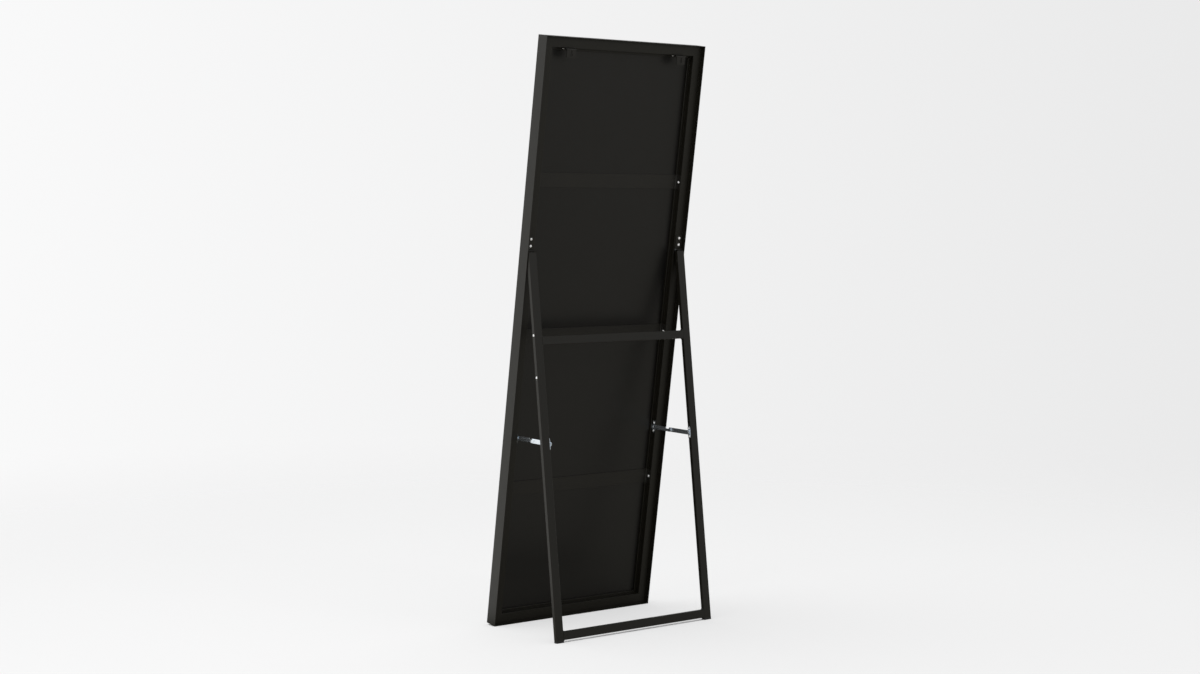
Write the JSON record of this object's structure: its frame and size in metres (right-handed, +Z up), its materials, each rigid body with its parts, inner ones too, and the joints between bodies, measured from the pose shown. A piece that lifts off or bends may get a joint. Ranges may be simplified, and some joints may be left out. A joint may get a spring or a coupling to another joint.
{
  "type": "floor mirror",
  "caption": "Tall rectangular floor mirror in a slim black metal frame, leaning on a folding rear easel stand with locking stays and keyhole hangers.",
  "frame": {"origin": "on the floor, midway between the frame's front edge and the stand's back edge, on the centre line", "axes": "+Z up, +Y towards the back where the stand is, +X to the right as seen from the front"},
  "size_m": [0.555, 0.3296, 1.6363],
  "materials": {
    "frame_black": "satin black powder coat",
    "steel_black": "satin black powder coat",
    "mirror": "silvered float glass",
    "film": "matte",
    "board": "black laminated fibreboard",
    "keys": "moulded",
    "zinc": "bright zinc plate",
    "screws": "bright zinc plate",
    "caps": "moulded black"
  },
  "bodies": {
    "frame": {"rail_left": "frame_black", "rail_right": "frame_black", "rail_top": "frame_black", "rail_bottom": "frame_black", "corner_keys": "keys", "mirror_glass": "mirror", "safety_film": "film", "backing_board": "board", "brace_upper": "steel_black", "brace_middle": "steel_black", "brace_lower": "steel_black", "brace_screws": "screws", "hanger_left": "steel_black", "hanger_right": "steel_black", "hanger_screws": "screws", "hinge_leaf_left": "steel_black", "hinge_leaf_right": "steel_black", "hinge_pin_left": "screws", "hinge_pin_right": "screws", "hinge_screws": "screws", "stay_frame_plate_left": "zinc", "stay_frame_plate_right": "zinc", "stay_frame_screws": "screws", "stay_frame_rivets": "zinc"},
    "stand": {"leg_left": "steel_black", "leg_right": "steel_black", "crossbar_middle": "steel_black", "crossbar_lower": "steel_black", "foot_cap_left": "caps", "foot_cap_right": "caps", "hinge_plug_left": "steel_black", "hinge_plug_right": "steel_black", "plug_screws": "steel_black", "leg_side_screws": "screws", "stay_leg_plate_left": "zinc", "stay_leg_plate_right": "zinc", "stay_leg_screws": "screws", "stay_leg_rivets": "zinc"},
    "front_arm_left": {"stay_front_arm_left": "zinc", "elbow_rivet_left": "zinc"},
    "rear_arm_left": {"stay_rear_arm_left": "zinc", "elbow_tail_left": "zinc"},
    "front_arm_right": {"stay_front_arm_right": "zinc", "elbow_rivet_right": "zinc"},
    "rear_arm_right": {"stay_rear_arm_right": "zinc", "elbow_tail_right": "zinc"}
  },
  "joints": [
    {"name": "stand_fold", "type": "hinge", "parent": "frame", "child": "stand", "pos_m": [0, 0.03014, 1.05564], "axis": [-1, 0, 0], "range_deg": [0, 15.65]},
    {"name": "stay_front_left", "type": "hinge", "parent": "frame", "child": "front_arm_left", "pos_m": [-0.243, -0.06152, 0.53646], "axis": [-1, 0, 0], "range_deg": [0, 92.2]},
    {"name": "stay_rear_left", "type": "hinge", "parent": "stand", "child": "rear_arm_left", "pos_m": [-0.2449, 0.09534, 0.53258], "axis": [1, 0, 0], "range_deg": [0, 93]},
    {"name": "stay_front_right", "type": "hinge", "parent": "frame", "child": "front_arm_right", "pos_m": [0.243, -0.06152, 0.53646], "axis": [-1, 0, 0], "range_deg": [0, 92.2]},
    {"name": "stay_rear_right", "type": "hinge", "parent": "stand", "child": "rear_arm_right", "pos_m": [0.2449, 0.09534, 0.53258], "axis": [1, 0, 0], "range_deg": [0, 93]}
  ],
  "couplings": [
    {"joint": "stay_front_left", "follows": "stand_fold", "ratio": 5.8876},
    {"joint": "stay_rear_left", "follows": "stand_fold", "ratio": 5.9365},
    {"joint": "stay_front_right", "follows": "stand_fold", "ratio": 5.8876},
    {"joint": "stay_rear_right", "follows": "stand_fold", "ratio": 5.9365}
  ]
}
